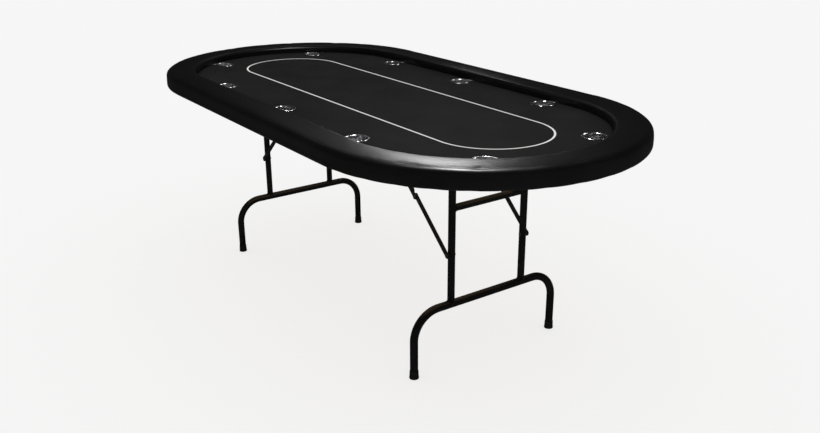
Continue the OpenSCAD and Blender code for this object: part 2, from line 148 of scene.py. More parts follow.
def lathe(profile, origin, axis=(0, 0, 1), steps=48):
    """A profile of (radius, height) turned about an axis: point = origin + height * axis
    + radius * (cos a * side + sin a * other), for a full turn of the angle a."""
    axis = np.array(axis, float)
    side = np.cross(axis, (1, 0, 0) if abs(axis[0]) < 0.5 else (0, 1, 0))
    side = side / np.linalg.norm(side)
    other = np.cross(axis, side)
    a = np.arange(steps)[:, None, None] * TAU / steps
    r, h = (np.asarray(profile, float)[None, :, i, None] for i in (0, 1))
    return np.array(origin) + h * axis + r * (np.cos(a) * side + np.sin(a) * other)


def tube(path, radius, steps=32):
    """A round bar along a path in a plane of constant X: each ring stands square to the path,
    and the bar closes to a point at both ends."""
    path = np.asarray(path, float)
    along = np.gradient(path, axis=0)
    along /= np.linalg.norm(along, axis=1)[:, None]
    across = np.array([1.0, 0, 0])
    up = np.cross(along, across)
    path = np.concatenate([path[:1], path, path[-1:]])
    up = np.concatenate([up[:1], up, up[-1:]])
    r = np.full(len(path), radius)
    r[[0, -1]] = 0
    a = np.arange(steps)[:, None, None] * TAU / steps
    return path + r[None, :, None] * (np.cos(a) * across + np.sin(a) * up)


def weld_bead(branch_r, main_r, origin, outward, main_axis, bead_r=2.1 * MM):
    """A bead along the curve where a tube meets another at right angles: the curve lies on the
    branch at the height sqrt(main_r^2 - (branch_r cos a)^2), and the bead swells and shrinks
    as it goes, like laid-down ripples."""
    outward, main_axis = np.array(outward, float), np.array(main_axis, float)
    cross = np.cross(outward, main_axis)
    a = (np.arange(96) * TAU / 96)[:, None, None]
    b = (np.arange(10) * TAU / 10)[None, :, None]
    radial = np.cos(a) * cross + np.sin(a) * main_axis
    lift = np.sqrt(main_r ** 2 - (branch_r * np.cos(a)) ** 2)
    ripple = bead_r * (1 + 0.10 * np.sin(22 * a) + 0.08 * np.sin(5 * a + 1))
    centre = np.array(origin) + branch_r * radial + lift * outward
    return centre + ripple * (np.cos(b) * radial + np.sin(b) * outward)


def arc(cx, cz, r, start, end, count):
    """Points on an arc, angles in degrees."""
    a = np.radians(np.linspace(start, end, count))
    return np.stack([cx + r * np.cos(a), cz + r * np.sin(a)], 1)


def oval_frame(count, reference_r):
    """Evenly spaced stations round the oval: for each, the x of its centre on the long axis and
    its outward angle. Two half turns at the ends and two straight runs between."""
    turn, run = math.pi * reference_r, 2 * END_X
    s = np.arange(count) / count * 2 * (turn + run)
    half = s >= turn + run
    s = s - half * (turn + run)
    a = -math.pi / 2 + np.minimum(s, turn) / reference_r + half * math.pi
    x = END_X - np.maximum(s - turn, 0)
    return np.where(half, -x, x), a


def round_the_oval(r, z, count, reference_r):
    """A grid of points: each station of the oval carries the whole section of (r, z)."""
    x, a = oval_frame(count, reference_r)
    x, a = x[:, None], a[:, None]
    r, z = np.asarray(r)[None, :], np.asarray(z)[None, :]
    return np.stack([x + r * np.cos(a), r * np.sin(a), z + 0 * a], -1)


def place(obj, body, material, slot, *nodes):
    """Gives a finished piece its material and body, and hides the CAD nodes it stands for. The
    slot is not used.
    """
    obj.data.materials.clear()
    obj.data.materials.append(material)
    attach(obj, body)
    if nodes:
        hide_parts(*nodes)
    return obj


def softened(node, name, width, body, material, slot):
    """A copy of a CAD node with its doubles merged, flat faces made whole and its edges
    rounded off by a small bevel."""
    obj = bpy.data.objects.new(name, frame["nodes"][node].data.copy())
    obj.data.name = name
    bpy.context.collection.objects.link(obj)
    made = bmesh.new()
    made.from_mesh(obj.data)
    bmesh.ops.remove_doubles(made, verts=made.verts, dist=2e-6)
    bmesh.ops.dissolve_limit(
        made, angle_limit=math.radians(0.5), verts=made.verts, edges=made.edges
    )
    bmesh.ops.recalc_face_normals(made, faces=made.faces)
    made.to_mesh(obj.data)
    made.free()
    obj.data.polygons.foreach_set("use_smooth", [True] * len(obj.data.polygons))
    bevel = obj.modifiers.new("rounded_edges", "BEVEL")
    bevel.width = width
    bevel.segments = 2
    bevel.limit_method = "ANGLE"
    bevel.angle_limit = math.radians(35)
    bevel.harden_normals = True
    return place(obj, body, material, slot, node)


# ---------- materials ----------

def put(tree, kind, values=None, **props):
    """Adds a node, sets its properties, and sets or links its inputs."""
    made = tree.nodes.new(kind)
    for key, value in props.items():
        setattr(made, key, value)
    for key, value in (values or {}).items():
        if isinstance(value, bpy.types.NodeSocket):
            tree.links.new(value, made.inputs[key])
        else:
            made.inputs[key].default_value = value
    return made


def maths(tree, operation, a, b=0.0, clamp=False):
    return put(
        tree, "ShaderNodeMath", {0: a, 1: b}, operation=operation, use_clamp=clamp
    ).outputs[0]


def effect(name, inputs, outputs, build):
    """A shader node group with named inputs and outputs, filled in by build(tree, ins)."""
    group = bpy.data.node_groups.new(name, "ShaderNodeTree")
    for label, kind, value in inputs:
        made = group.interface.new_socket(name=label, in_out="INPUT", socket_type=kind)
        if value is not None:
            made.default_value = value
    for label, kind in outputs:
        group.interface.new_socket(name=label, in_out="OUTPUT", socket_type=kind)
    ins = group.nodes.new("NodeGroupInput").outputs
    out = group.nodes.new("NodeGroupOutput")
    for label, socket in build(group, ins).items():
        group.links.new(socket, out.inputs[label])
    return group


FLOAT, VECTOR = "NodeSocketFloat", "NodeSocketVector"


def build_speckle(t, ins):
    """Fine noise and broad noise: small grain for the surface, slow drift for its shade."""
    fine = put(t, "ShaderNodeTexNoise", {
        "Vector": ins["Vector"], "Scale": ins["Fine"], "Detail": 3.0, "Roughness": 0.6})
    broad = put(t, "ShaderNodeTexNoise", {
        "Vector": ins["Vector"], "Scale": ins["Broad"], "Detail": 4.0, "Roughness": 0.55})
    return {"Grain": fine.outputs[0], "Drift": broad.outputs[0]}


def build_pebble(t, ins):
    """Pressed leather grain: rounded cells with creases between, broken up by noise."""
    wobble = put(t, "ShaderNodeTexNoise", {
        "Vector": ins["Vector"], "Scale": maths(t, "MULTIPLY", ins["Scale"], 0.45), "Detail": 2.0})
    shifted = put(t, "ShaderNodeVectorMath", {
        0: wobble.outputs["Color"], 1: (0.0006, 0.0006, 0.0006), 2: ins["Vector"]},
        operation="MULTIPLY_ADD")
    cells = put(t, "ShaderNodeTexVoronoi", {
        "Vector": shifted.outputs[0], "Scale": ins["Scale"]}, feature="DISTANCE_TO_EDGE")
    dome = maths(t, "POWER", maths(t, "MULTIPLY", cells.outputs["Distance"], 2.2, True), 0.5)
    return {"Height": dome, "Crease": maths(t, "SUBTRACT", 1.0, dome, True)}


def build_weave(t, ins):
    """Plain weave: threads one way ride over the threads the other way in turn."""
    parts = put(t, "ShaderNodeSeparateXYZ", {0: ins["Vector"]})
    k = maths(t, "MULTIPLY", ins["Threads"], TAU)
    sx = maths(t, "SINE", maths(t, "MULTIPLY", parts.outputs[0], k))
    sy = maths(t, "SINE", maths(t, "MULTIPLY", parts.outputs[1], k))
    over = maths(t, "MULTIPLY", sx, sy)
    raised = put(t, "ShaderNodeMath", {0: over, 1: 0.5, 2: 0.5}, operation="MULTIPLY_ADD")
    return {"Height": raised.outputs[0]}


def build_oval_line(t, ins):
    """Distance from an oval: the length past the straight part and the distance across it,
    taken together, less the oval's radius. The line is where that is within half its width."""
    parts = put(t, "ShaderNodeSeparateXYZ", {0: ins["Vector"]})
    past = maths(t, "MAXIMUM", maths(t, "SUBTRACT",
        maths(t, "ABSOLUTE", parts.outputs[0]), ins["Half run"]), 0.0)
    reach = put(t, "ShaderNodeCombineXYZ", {0: past, 1: parts.outputs[1]})
    length = put(t, "ShaderNodeVectorMath", {0: reach.outputs[0]}, operation="LENGTH")
    off = maths(t, "ABSOLUTE", maths(t, "SUBTRACT", length.outputs["Value"], ins["Radius"]))
    inside = maths(t, "SUBTRACT", ins["Half width"], off)
    return {"Line": maths(t, "MULTIPLY", inside, 2500.0, True)}


SPECKLE = effect("speckle",
    [("Vector", VECTOR, None), ("Fine", FLOAT, 900.0), ("Broad", FLOAT, 6.0)],
    [("Grain", FLOAT), ("Drift", FLOAT)], build_speckle)
PEBBLE = effect("pebble_grain",
    [("Vector", VECTOR, None), ("Scale", FLOAT, 700.0)],
    [("Height", FLOAT), ("Crease", FLOAT)], build_pebble)
WEAVE = effect("plain_weave",
    [("Vector", VECTOR, None), ("Threads", FLOAT, 900.0)],
    [("Height", FLOAT)], build_weave)
OVAL_LINE = effect("oval_line",
    [("Vector", VECTOR, None), ("Half run", FLOAT, 0.62), ("Radius", FLOAT, 0.187),
     ("Half width", FLOAT, 0.0035)],
    [("Line", FLOAT)], build_oval_line)


def use(tree, group, **values):
    made = tree.nodes.new("ShaderNodeGroup")
    made.node_tree = group
    for key, value in values.items():
        socket = made.inputs[key.replace("_", " ")]
        if isinstance(value, bpy.types.NodeSocket):
            tree.links.new(value, socket)
        else:
            socket.default_value = value
    return made.outputs


def ramp(tree, fac, low, high, start=0.3, end=0.7):
    """A colour between two shades, by a mask."""
    made = put(tree, "ShaderNodeValToRGB", {"Fac": fac})
    made.color_ramp.elements[0].position = start
    made.color_ramp.elements[1].position = end
    made.color_ramp.elements[0].color = (*low, 1)
    made.color_ramp.elements[1].color = (*high, 1)
    return made.outputs["Color"]


def between(tree, fac, low, high):
    return put(tree, "ShaderNodeMapRange", {
        "Value": fac, "From Min": 0.3, "From Max": 0.7, "To Min": low, "To Max": high}).outputs[0]


def bump(tree, height, strength, distance, under=None):
    values = {"Height": height, "Strength": strength, "Distance": distance}
    if under is not None:
        values["Normal"] = under
    return put(tree, "ShaderNodeBump", values).outputs[0]


def new_material(name, **shader):
    """A material with one Principled shader, its even values set on the shader's own sockets."""
    made = bpy.data.materials.new(name)
    made.use_nodes = True
    tree = made.node_tree
    tree.nodes.clear()
    bsdf = put(tree, "ShaderNodeBsdfPrincipled", shader)
    out = tree.nodes.new("ShaderNodeOutputMaterial")
    tree.links.new(bsdf.outputs[0], out.inputs["Surface"])
    where = tree.nodes.new("ShaderNodeTexCoord").outputs["Object"]
    return made, tree, bsdf, where


def wire(tree, bsdf, **sockets):
    for key, socket in sockets.items():
        tree.links.new(socket, bsdf.inputs[key.replace("_", " ")])


def grey(value):
    """An even shade of grey."""
    return value, value, value


def coated(name, dark, light, rough, grain_height=0.00004, fine=1400.0, metallic=0.0, **shader):
    """Paint, plastic, rubber or plated metal: a speckled shade, uneven gloss, fine texture."""
    made, tree, bsdf, where = new_material(name, Metallic=metallic, **shader)
    s = use(tree, SPECKLE, Vector=where, Fine=fine, Broad=11.0)
    wire(tree, bsdf, Base_Color=ramp(tree, s["Drift"], dark, light),
         Roughness=between(tree, s["Drift"], *rough),
         Normal=bump(tree, s["Grain"], 0.5, grain_height))
    return made


def rail_vinyl_material():
    made, tree, bsdf, where = new_material("rail_vinyl", **{"Specular IOR Level": 0.5})
    p = use(tree, PEBBLE, Vector=where, Scale=620.0)
    s = use(tree, SPECKLE, Vector=where, Fine=240.0, Broad=5.0)
    fine = bump(tree, p["Height"], 0.35, 0.00008)
    wire(tree, bsdf, Base_Color=ramp(tree, s["Drift"], grey(0.0016), grey(0.0028)),
         Roughness=between(tree, s["Drift"], 0.30, 0.36),
         Normal=bump(tree, s["Drift"], 0.25, 0.0012, fine))
    return made


def playing_cloth_material():
    made, tree, bsdf, where = new_material("playing_cloth", **{
        "Specular IOR Level": 0.04, "Sheen Weight": 0.008, "Sheen Roughness": 0.5})
    w = use(tree, WEAVE, Vector=where, Threads=900.0)
    s = use(tree, SPECKLE, Vector=where, Fine=420.0, Broad=7.0)
    line = use(tree, OVAL_LINE, Vector=where, Half_run=LINE_HALF_RUN, Radius=LINE_R,
               Half_width=LINE_HALF_W)
    black = ramp(tree, s["Drift"], grey(0.0112), grey(0.0158))
    ink = ramp(tree, s["Grain"], (0.66, 0.66, 0.65), (0.86, 0.86, 0.85))
    colour = put(tree, "ShaderNodeMix", {"Factor": line["Line"]}, data_type="RGBA")
    tree.links.new(black, colour.inputs["A"])
    tree.links.new(ink, colour.inputs["B"])
    wire(tree, bsdf, Base_Color=colour.outputs["Result"],
         Roughness=between(tree, s["Grain"], 0.78, 0.92),
         Normal=bump(tree, w["Height"], 0.35, 0.00012))
    return made


def plywood_material():
    made, tree, bsdf, where = new_material("birch_plywood", **{"Specular IOR Level": 0.35})
    stretch = put(tree, "ShaderNodeMapping", {"Vector": where, "Scale": (2.2, 26.0, 40.0)})
    grain = put(tree, "ShaderNodeTexNoise", {
        "Vector": stretch.outputs[0], "Scale": 3.0, "Detail": 7.0, "Roughness": 0.62})
    fine = put(tree, "ShaderNodeTexNoise", {
        "Vector": stretch.outputs[0], "Scale": 24.0, "Detail": 4.0})
    wire(tree, bsdf,
         Base_Color=ramp(tree, grain.outputs[0], (0.44, 0.30, 0.17), (0.66, 0.50, 0.31),
                         0.32, 0.68),
         Roughness=between(tree, fine.outputs[0], 0.55, 0.74),
         Normal=bump(tree, fine.outputs[0], 0.4, 0.0002))
    return made


def stainless_material():
    made, tree, bsdf, where = new_material("polished_stainless", Metallic=1.0)
    s = use(tree, SPECKLE, Vector=where, Fine=1600.0, Broad=60.0)
    wire(tree, bsdf, Base_Color=ramp(tree, s["Drift"], (0.68, 0.68, 0.69), (0.78, 0.78, 0.79)),
         Roughness=between(tree, s["Drift"], 0.16, 0.24),
         Normal=bump(tree, s["Grain"], 0.12, 0.00002))
    return made


VINYL = rail_vinyl_material()
CLOTH = playing_cloth_material()
PLYWOOD = plywood_material()
STAINLESS = stainless_material()
TUBE_PAINT = coated("black_tube_powder_coat", grey(0.0012), grey(0.0022), (0.30, 0.42))
LINK_PAINT = coated("black_link_powder_coat", grey(0.002), grey(0.004), (0.42, 0.55))
BRACKET_PAINT = coated("black_bracket_powder_coat", grey(0.003), grey(0.006), (0.40, 0.52))
ZINC = coated("dark_zinc_plate", grey(0.20), grey(0.32), (0.30, 0.45), 0.00002, 900.0, 1.0)
RUBBER = coated("foot_rubber", grey(0.002), grey(0.004), (0.62, 0.80), 0.00008, 800.0)
CAP_PLASTIC = coated("cap_plastic", grey(0.003), grey(0.006), (0.45, 0.55), 0.00005, 1100.0)
FIBREBOARD = coated("fibreboard", (0.40, 0.30, 0.19), (0.56, 0.43, 0.29), (0.75, 0.9),
                    0.0002, 500.0)
FOAM = coated("upholstery_foam", grey(0.62), grey(0.78), (0.85, 0.95), 0.0003, 700.0)
STAPLE = coated("staple_wire", grey(0.45), grey(0.60), (0.25, 0.40), 0.00001, 900.0, 1.0)


# ---------- camera ----------

def make_camera():
    """Stands back from a target by an azimuth, an elevation and a distance, with a slight roll."""
    azimuth, elevation, roll = (math.radians(v) for v in (55.01, 20.76, -0.31))
    target, distance = Vector((0.4108, -0.1498, 0.440)), 2.7353
    back = Vector((math.sin(azimuth) * math.cos(elevation),
                   -math.cos(azimuth) * math.cos(elevation), math.sin(elevation)))
    right = Vector((math.cos(azimuth), math.sin(azimuth), 0))
    up = back.cross(right)
    turned_right = right * math.cos(roll) + up * math.sin(roll)
    turned_up = up * math.cos(roll) - right * math.sin(roll)
    camera = bpy.data.objects.new("camera", bpy.data.cameras.new("camera"))
    bpy.context.collection.objects.link(camera)
    camera.matrix_world = Matrix.Translation(target + back * distance) @ Matrix(
        (turned_right, turned_up, back)).transposed().to_4x4()
    camera.data.sensor_width = 36
    camera.data.lens = 37.7034
    camera.data.clip_start, camera.data.clip_end = 0.02, 200
    bpy.context.scene.camera = camera


make_camera()


# ---------- padded rail ----------

def stuffed_outline():
    """The visible run of the section, x inwards from the outer edge: up the inner wall, over a
    tight lip, across a nearly flat top z = top - dip * ((x - middle) / half) ** 2 with a pinched
    seam near the outside, over a tight shoulder, down the side and round the foot."""
    top, under = rail_hi[2], rail_lo[2]
    lip, shoulder, foot, dip = 11 * MM, 16 * MM, 13 * MM, 1.6 * MM
    over_lip = arc(RAIL_W - lip, top - dip - lip, lip, 0, 78, 9)
    over_shoulder = arc(shoulder, top - dip - shoulder, shoulder, 102, 180, 10)
    start, end = over_lip[-1], over_shoulder[0]
    seam = end[0] + 5 * MM
    x = np.concatenate([np.linspace(start[0], seam + 2.5 * MM, 11)[1:],
                        [seam + 1 * MM, seam, seam - 1 * MM]])
    middle, half = (start[0] + end[0]) / 2, (start[0] - end[0]) / 2
    z = top - (top - start[1]) * ((x - middle) / half) ** 2
    z[-2] -= 0.9 * MM
    side = np.linspace(top - dip - shoulder, under + foot, 7)[1:-1]
    return np.concatenate([over_lip, np.stack([x, z], 1), over_shoulder,
                           np.stack([np.zeros(len(side)), side], 1),
                           arc(foot, under + foot, foot, 180, 262, 9)])


def spread(points, step):
    """Fills a run of corner points in with points at even steps, and holds each corner with a
    point close to either side of it."""
    out = []
    for a, b in zip(points[:-1], points[1:]):
        length = np.linalg.norm(b - a)
        edge = min(1.2 * MM / length, 0.3)
        t = np.concatenate([[0, edge], np.linspace(0, 1, max(int(length / step), 2) + 1)[1:-1],
                            [1 - edge]])
        out.append(a + (b - a) * t[:, None])
    return np.concatenate(out + [points[-1:]])


def rail_section():
    """The closed section of the stuffed rail, x inwards from its outer edge. The visible run
    goes up the inner wall, over the crown, down the outside and under to the hem. The hidden
    run lies against the base board and the wooden ring."""
    gap = EDGE_GAP
    hem_end = 42 * MM
    under, board_z, base_top = rail_lo[2], board_lo[2] - gap, board_hi[2] + gap
    ring_top = ring_hi[2] + gap
    inset = WOOD_INSET - gap
    inner = np.array([[RAIL_W, base_top], [RAIL_W, base_top + 6 * MM],
                      [RAIL_W, base_top + 14 * MM]])
    hem = np.array([[20 * MM, under], [30 * MM, under], [hem_end - 1.5 * MM, under],
                    [hem_end, under + 0.4 * MM]])
    visible = np.concatenate([inner, stuffed_outline()])
    hidden = spread(np.array([[hem_end, board_z], [inset, board_z], [inset, ring_top],
                              [RAIL_W - inset, ring_top], [RAIL_W - inset, base_top],
                              [RAIL_W - 1 * MM, base_top]]), 14 * MM)
    return np.concatenate([visible, hem, hidden]), len(visible)


def swell(obj, free, frames=20, pressure=3.0, cap=1.5 * MM):
    """Blows the stuffed form up a little with Blender's cloth, held wherever it isn't free, and
    keeps every point within the cap of where it began."""
    mesh = obj.data
    rest = np.empty(len(mesh.vertices) * 3)
    mesh.vertices.foreach_get("co", rest)
    rest = rest.reshape(-1, 3)
    held = obj.vertex_groups.new(name="held")
    for weight in np.unique(free.round(2)):
        held.add(np.flatnonzero(free.round(2) == weight).tolist(), float(1 - weight), "REPLACE")
    cloth = obj.modifiers.new("cloth", "CLOTH")
    cloth.settings.quality = 4
    cloth.settings.mass = 0.35
    cloth.settings.tension_stiffness = cloth.settings.compression_stiffness = 22
    cloth.settings.shear_stiffness = 9
    cloth.settings.bending_stiffness = 1.5
    cloth.settings.use_pressure = True
    cloth.settings.uniform_pressure_force = pressure
    cloth.settings.effector_weights.gravity = 0
    cloth.settings.vertex_group_mass = "held"
    cloth.settings.pin_stiffness = 1
    cloth.collision_settings.use_collision = False
    cloth.point_cache.frame_start, cloth.point_cache.frame_end = 1, frames
    scene = bpy.context.scene
    for f in range(1, frames + 1):
        scene.frame_set(f)
    shaped = obj.evaluated_get(bpy.context.evaluated_depsgraph_get()).to_mesh()
    moved = np.empty(len(rest) * 3)
    shaped.vertices.foreach_get("co", moved)
    obj.modifiers.remove(cloth)
    obj.vertex_groups.clear()
    scene.frame_set(1)
    step = moved.reshape(-1, 3) - rest
    length = np.linalg.norm(step, axis=1, keepdims=True)
    step *= np.minimum(1, cap / np.maximum(length, 1e-9)) * free[:, None]
    mesh.vertices.foreach_set("co", (rest + step).ravel())
    mesh.update()


def padded_rail():
    """The section carried round the oval, its hem gathered into shallow pleats round the ends,
    then swollen a little by pressure."""
    section, seen = rail_section()
    count, pleats_per_radian, pleat_depth = 480, 34, 0.9 * MM
    grid = round_the_oval(HALF_W - section[:, 0], section[:, 1], count, HALF_W)
    x, a = oval_frame(count, HALF_W)
    on_end = (np.abs(x) >= END_X - 1e-6).astype(float)
    underside = np.exp(-((section[:, 1] - rail_lo[2]) / (5 * MM)) ** 2) * (section[:, 0] < 40 * MM)
    underside[seen + 2:] = 0
    wave = np.maximum(0, np.sin(pleats_per_radian * a))
    pleat = on_end[:, None] * underside[None, :] * wave[:, None]
    grid[:, :, 2] += pleat_depth * pleat
    obj = grid_object("padded_rail", [grid], True, True)
    free = np.zeros(len(section))
    s = np.arange(seen)
    free[:seen] = np.clip((s - 1) / 5, 0, 1) * np.clip((seen - 3 - s) / 7, 0, 1)
    free = np.tile(free, count)
    swell(obj, free)
    subdivision = obj.modifiers.new("smooth", "SUBSURF")
    subdivision.levels = subdivision.render_levels = 1
    place(obj, "table_top", VINYL, "rail_vinyl", "rail_cover", "rail_foam")


# ---------- playing surface ----------

def playing_cloth():
    """A flat oval disc of rings at growing distances from the long axis, with its cup holes cut
    out and their edges drawn onto circles. It dips where the rail presses on its edge. As many
    stations stand on the half turns as on the straight runs, so both sides meet on the axis."""
    count, rings = 720, 56
    distance = CLOTH_R * np.linspace(0, 1, rings + 1) ** 0.97
    grid = round_the_oval(distance, np.full(rings + 1, CLOTH_Z), count, 2 * END_X / math.pi)
    points, faces = grid.reshape(-1, 3).copy(), grid_faces(count, rings + 1, True, False)
    middle = points[faces].mean(1)
    cups = np.array(CUPS)[:, :2]
    off = np.linalg.norm(middle[:, None, :2] - cups[None], axis=2).min(1)
    faces = faces[off > CUP_HOLE_R]
    edges = np.sort(np.stack([faces, np.roll(faces, -1, 1)], -1).reshape(-1, 2), 1)
    edge, used = np.unique(edges, axis=0, return_counts=True)
    rim = np.unique(edge[used == 1])
    away = points[:, None, :2] - cups[None]
    gap = np.linalg.norm(away, axis=2)
    near = gap.argmin(1)
    index = rim[gap[rim].min(1) < 1.5 * CUP_HOLE_R]
    unit = away[index, near[index]] / gap[index, near[index]][:, None]
    points[index, :2] = cups[near[index]] + unit * CUP_HOLE_R
    used_points, faces = np.unique(faces, return_inverse=True)
    points, faces = points[used_points], faces.reshape(-1, 4)
    x = np.abs(points[:, 0]) - END_X
    from_axis = np.hypot(np.maximum(x, 0), points[:, 1])
    points[:, 2] -= 1.2 * MM * np.exp((from_axis - CLOTH_R) / (3 * MM))
    if np.cross(points[faces[0, 1]] - points[faces[0, 0]],
                points[faces[0, 2]] - points[faces[0, 0]])[2] < 0:
        faces = faces[:, ::-1]
    obj = mesh_object("playing_cloth", points, faces)
    solid = obj.modifiers.new("thickness", "SOLIDIFY")
    solid.thickness, solid.offset = 1 * MM, -1
    place(obj, "table_top", CLOTH, "playing_cloth", "playfield_cloth")


def cup_holders():
    """Pressed cups: one profile turned about each cup's axis. The floor has a raised disc, the
    wall meets it in a round corner, and the rim rolls out, over and under into a bead."""
    t, floor = 0.9, -58.0
    inner, outer = 34.1, 35.0
    profile = np.concatenate([
        [[0, floor + t + 0.9], [16, floor + t + 0.9], [17.2, floor + t + 0.5], [18.4, floor + t]],
        [[24, floor + t]],
        arc(outer - 5.0, floor + 5.0, 4.1, -90, 0, 9),
        [[inner, -40], [inner, -39.4], [inner - 0.35, -38.7], [inner, -38.0], [inner, -20]],
        arc(inner + 2.6, 0.2, 2.6, 180, 90, 8),
        [[38.0, 2.95]],
        arc(38.5, 1.5, 1.5, 80, -100, 14),
        [[37.4, 1.2], [36.4, 1.4], [35.6, 0.9], [outer, -0.6], [outer, -38.0],
         [outer - 0.35, -38.7], [outer, -39.4]],
        arc(outer - 5.0, floor + 5.0, 5.0, 0, -90, 9),
        [[0, floor]],
    ]) * MM
    for i, cup in enumerate(CUPS, 1):
        node = "cup_holder_%02d" % i
        obj = grid_object(node + "_pressed", [lathe(profile, (cup[0], cup[1], CLOTH_Z), steps=72)])
        place(obj, "table_top", STAINLESS, "stainless_steel", node)


# ---------- leg frames ----------

def leg_frame(end):
    """Tubes, welds, caps and plugs of one leg frame, from its nodes' boxes."""
    body = end + "_leg_frame"
    foot_lo, foot_hi = span(end + "_foot_tube")
    bar_lo, bar_hi = span(end + "_crossbar")
    post_lo, post_hi = span(end + "_post_rear")
    pivot_lo, pivot_hi = span(end + "_pivot_tube")
    leg_x = (foot_lo[0] + foot_hi[0]) / 2
    foot_r, post_r = (foot_hi[0] - foot_lo[0]) / 2, (post_hi[0] - post_lo[0]) / 2
    bar_r, pivot_r = (bar_hi[2] - bar_lo[2]) / 2, (pivot_hi[2] - pivot_lo[2]) / 2
    foot_y, foot_z, foot_end = foot_hi[1] - foot_r, foot_hi[2] - foot_r, foot_lo[2]
    post_y, bar_z = (post_lo[1] + post_hi[1]) / 2, (bar_lo[2] + bar_hi[2]) / 2
    pivot_z = (pivot_lo[2] + pivot_hi[2]) / 2
    bend = 90 * MM

    corner = arc(foot_y - bend, foot_z - bend, bend, 0, 90, 25)
    half = np.concatenate([[[foot_y, foot_end]], [[foot_y, foot_end + 40 * MM]], corner,
                           [[post_y + 30 * MM, foot_z], [post_y, foot_z]]])
    loop = np.concatenate([half, [[0, foot_z]], half[::-1] * (-1, 1)])
    path = np.concatenate([np.full((len(loop), 1), leg_x), loop], 1)
    place(grid_object(end + "_bent_foot_tube", [tube(path, foot_r, 40)]),
          body, TUBE_PAINT, "black_tube", end + "_foot_tube")

    for side, sy in SIDES.items():
        ys = sy * post_y
        rise = np.array([[leg_x, ys, foot_z + foot_r - 3 * MM], [leg_x, ys, foot_z + 80 * MM],
                         [leg_x, ys, bar_z], [leg_x, ys, pivot_z - 60 * MM],
                         [leg_x, ys, pivot_z - pivot_r + 3 * MM]])
        place(grid_object("%s_%s_round_post" % (end, side), [tube(rise, post_r, 40)]),
              body, TUBE_PAINT, "black_tube", "%s_post_%s" % (end, side))
    reach = post_y - post_r + 2.5 * MM
    cross = np.array([[leg_x, y, bar_z] for y in np.linspace(-reach, reach, 5)])
    place(grid_object(end + "_round_crossbar", [tube(cross, bar_r, 40)]),
          body, TUBE_PAINT, "black_tube", end + "_crossbar")
    along = np.array([[leg_x, y, pivot_z] for y in np.linspace(pivot_lo[1], pivot_hi[1], 7)])
    place(grid_object(end + "_round_pivot_tube", [tube(along, pivot_r, 40)]),
          body, TUBE_PAINT, "black_tube", end + "_pivot_tube")

    beads = []
    for sy in (-1, 1):
        ys = sy * post_y
        beads.append(weld_bead(post_r, foot_r, (leg_x, ys, foot_z), (0, 0, 1), (0, 1, 0)))
        beads.append(weld_bead(post_r, pivot_r, (leg_x, ys, pivot_z), (0, 0, -1), (0, 1, 0)))
        beads.append(weld_bead(bar_r, post_r, (leg_x, ys, bar_z), (0, -sy, 0), (0, 0, 1)))
    place(grid_object(end + "_weld_beads", beads, True, True), body, TUBE_PAINT, "black_tube")

    foot_caps(end, leg_x, foot_y, foot_r, foot_end)
    pivot_plugs(end, leg_x, pivot_z, pivot_hi[1])


def foot_caps(end, leg_x, foot_y, foot_r, foot_end):
    """Rubber caps over the foot tube's ends: a turned profile with a hollow base, a thicker band
    at the floor and a rolled lip against the tube."""
    cap_lo, cap_hi = span(end + "_foot_caps")
    base_r, height = (cap_hi[0] - cap_lo[0]) / 2, cap_hi[2]
    profile = np.array([
        [0, 1.2 * MM], [base_r - 5 * MM, 1.2 * MM], [base_r - 4 * MM, 0], [base_r - 1 * MM, 0],
        [base_r - 0.3 * MM, 0.4 * MM], [base_r, 1.4 * MM], [base_r, 4.4 * MM],
        [base_r - 0.5 * MM, 5.6 * MM], [base_r - 0.8 * MM, 10 * MM], [base_r - 1.1 * MM, 18 * MM],
        [base_r - 1.3 * MM, height - 3 * MM], [base_r - 1.2 * MM, height - 1.2 * MM],
        [base_r - 1.7 * MM, height - 0.3 * MM], [base_r - 2.2 * MM, height],
        [foot_r + 0.1 * MM, height - 0.6 * MM], [foot_r + 0.1 * MM, foot_end - 0.1 * MM],
        [0, foot_end - 0.1 * MM]])
    place(grid_object(end + "_rubber_foot_caps",
                      [lathe(profile, (leg_x, sy * foot_y, 0)) for sy in (-1, 1)]),
          end + "_leg_frame", RUBBER, "foot_rubber", end + "_foot_caps")


def pivot_plugs(end, leg_x, pivot_z, tube_end):
    """Plastic plugs in the pivot tube's ends: a turned disc with a dished middle."""
    plug_hi = span(end + "_pivot_end_caps")[1]
    lip_r = plug_hi[2] - pivot_z
    thick = plug_hi[1] - tube_end
    plug = np.array([[0, 0], [lip_r - 1 * MM, 0], [lip_r, 0.6 * MM], [lip_r, thick - 1.1 * MM],
                     [lip_r - 0.5 * MM, thick - 0.4 * MM], [lip_r - 1.3 * MM, thick],
                     [5 * MM, thick], [4.4 * MM, thick - 0.3 * MM], [4 * MM, thick - 0.9 * MM],
                     [0, thick - 1.0 * MM]])
    place(grid_object(end + "_pivot_plugs",
                      [lathe(plug, (leg_x, sy * tube_end, pivot_z), (0, sy, 0))
                       for sy in (-1, 1)]),
          end + "_leg_frame", CAP_PLASTIC, "cap_plastic", end + "_pivot_end_caps")


def rivet(inner, outer, head_r=5.5 * MM, head_h=1.5 * MM, shank_r=3 * MM, washer=None):
    """A rivet's profile from its inner head to its outer head, heights measured along it: each
    head is a low dome, and a washer may stand between the two parts it joins."""
    dome = np.radians(np.linspace(90, 0, 7))
    low = np.stack([head_r * np.cos(dome), inner - head_h * np.sin(dome)], 1)
    high = np.stack([head_r * np.cos(dome[::-1]), outer + head_h * np.sin(dome[::-1])], 1)
    middle = [[shank_r, inner], [shank_r, outer]]
    if washer:
        middle[1:1] = [[shank_r, washer[0]], [head_r, washer[0]], [head_r, washer[1]],
                       [shank_r, washer[1]]]
    return np.concatenate([low, middle, high])


